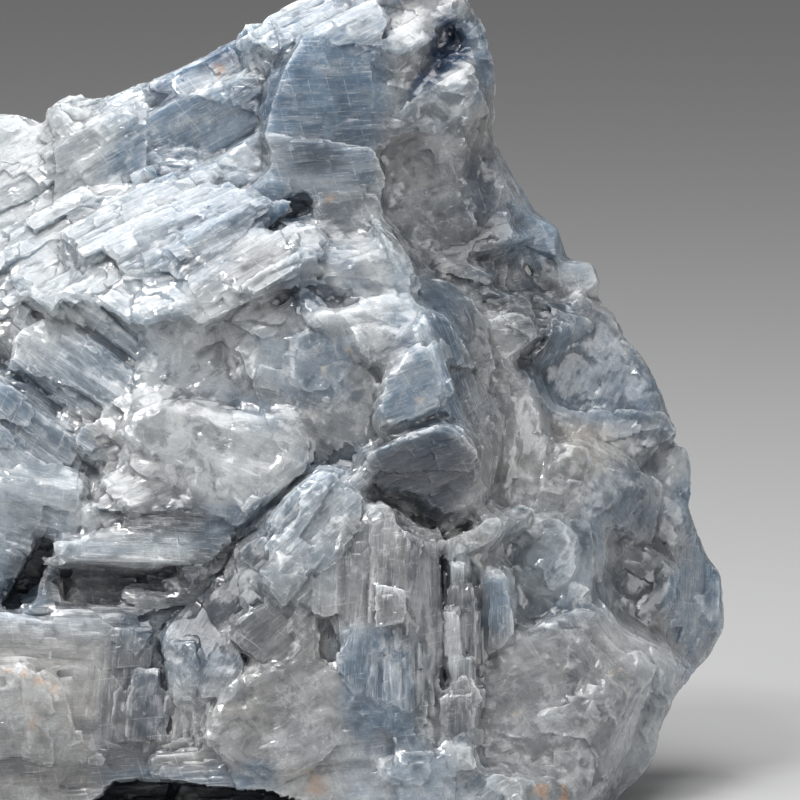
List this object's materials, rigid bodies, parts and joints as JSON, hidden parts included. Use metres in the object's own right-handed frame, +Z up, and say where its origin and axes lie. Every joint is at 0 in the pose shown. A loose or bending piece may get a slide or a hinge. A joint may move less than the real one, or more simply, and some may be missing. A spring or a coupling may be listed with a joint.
{
  "type": "mineral specimen",
  "caption": "Rough lump of blue calcite, a broken mass of stepped cleavage faces, laths and pits that stands on a flat face.",
  "frame": {"origin": "middle of the bounding box's underside, on the flat face that the stone stands on", "axes": "+X along the stone's length, to the right of the show face; the show face looks towards -Y; +Z up"},
  "size_m": [0.109, 0.0604, 0.097],
  "materials": {
    "calcite": "glossy and milky, with fine steps and striations"
  },
  "bodies": {
    "root": {"blue_calcite": "calcite"}
  },
  "joints": []
}
